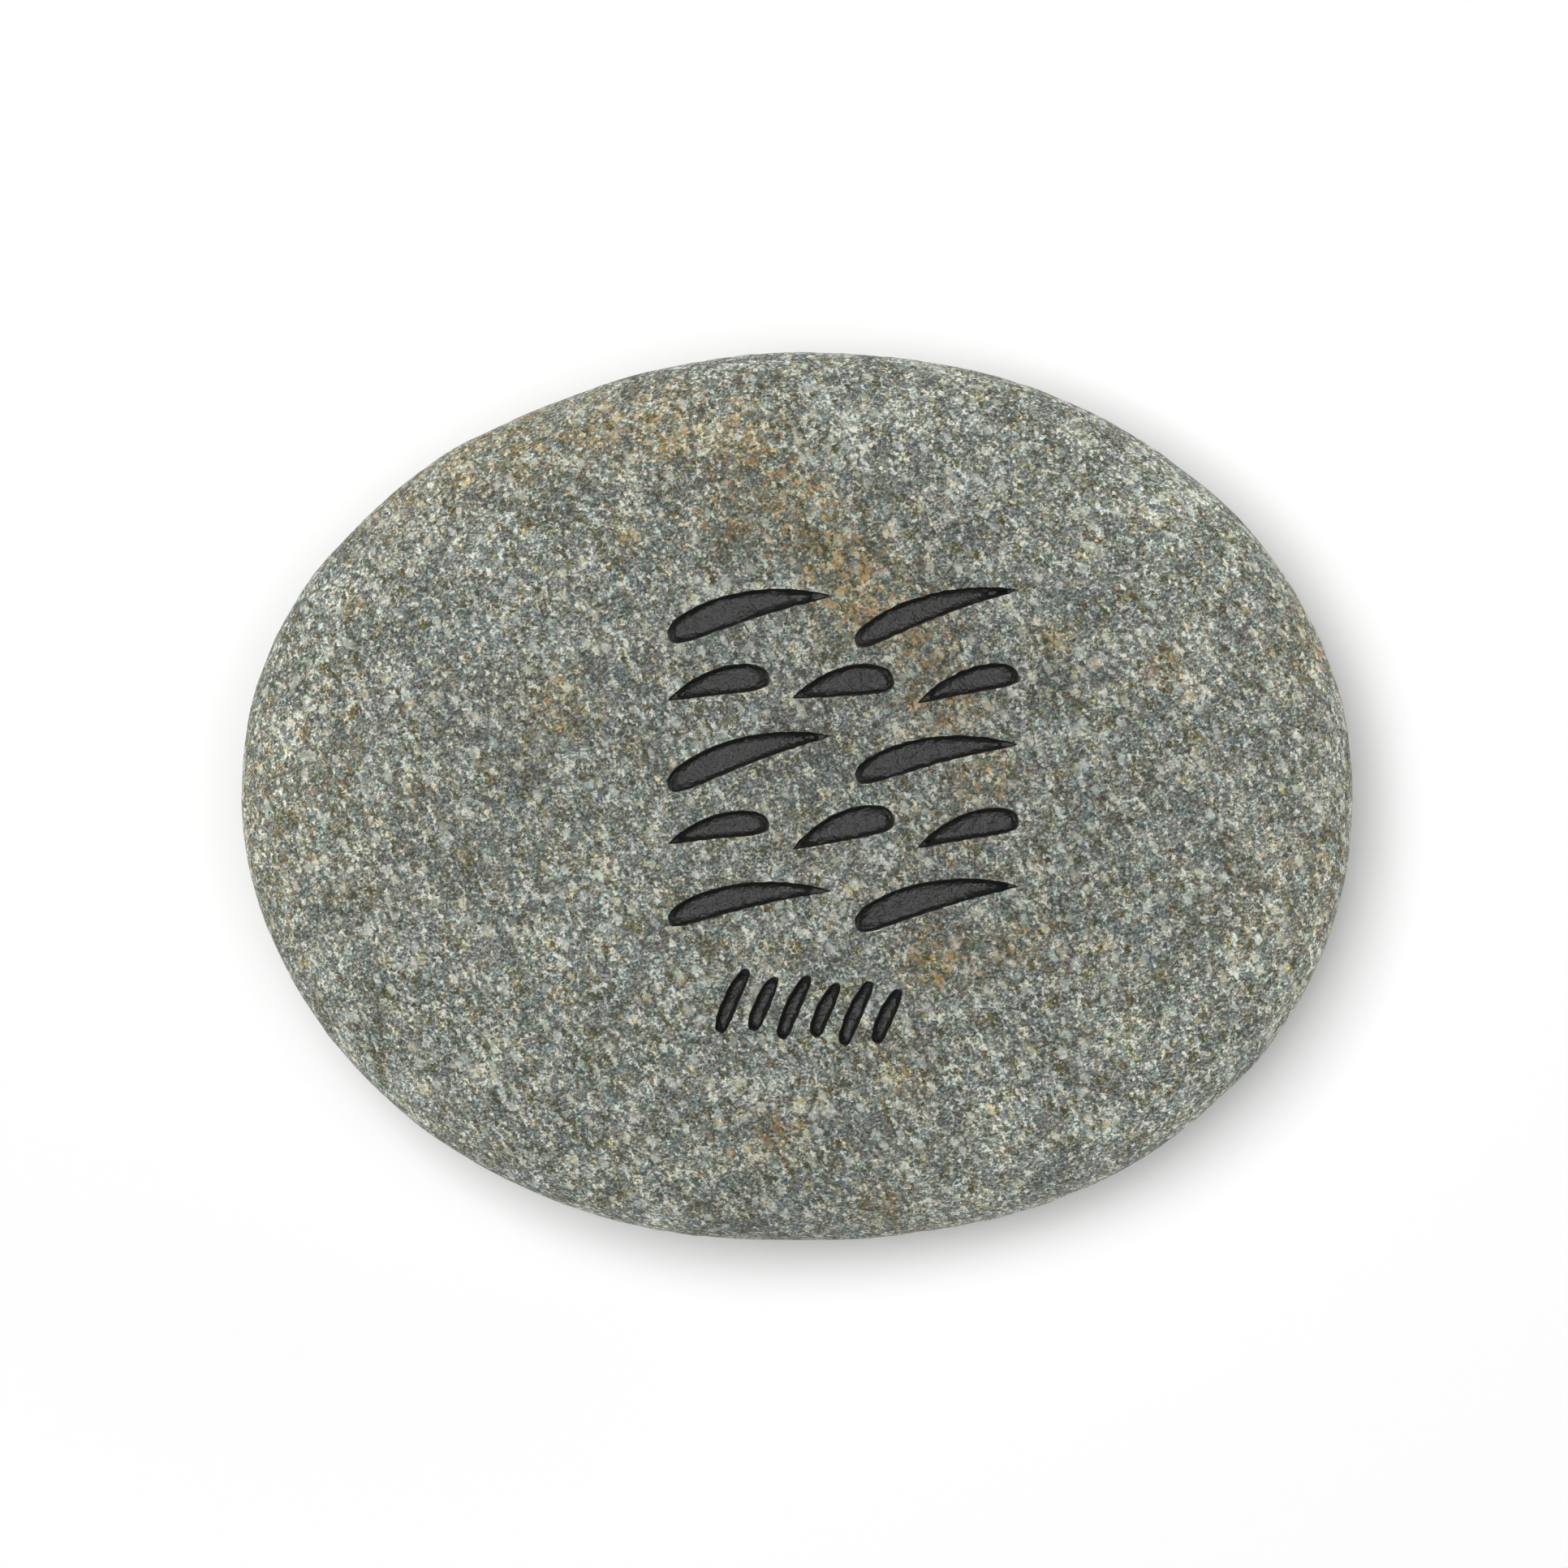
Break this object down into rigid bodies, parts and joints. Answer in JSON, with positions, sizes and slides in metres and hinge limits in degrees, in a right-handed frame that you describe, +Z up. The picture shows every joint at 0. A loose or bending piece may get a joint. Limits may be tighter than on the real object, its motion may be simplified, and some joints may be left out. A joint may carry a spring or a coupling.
{
  "type": "engraved river pebble",
  "caption": "Flattish oval river pebble of fine speckled grey stone, with rows of shallow brush strokes cut into its upper face and painted black.",
  "frame": {"origin": "on the table, under the middle of the pebble's length and width", "axes": "+X along the pebble's length, +Y across it towards the top of the engraving, +Z up through its engraved face"},
  "size_m": [0.1, 0.08, 0.0252],
  "materials": {
    "stone": "matte, water-worn, fine salt-and-pepper grain; the engraved recesses are painted matte black"
  },
  "bodies": {
    "root": {"pebble": "stone"}
  },
  "joints": []
}
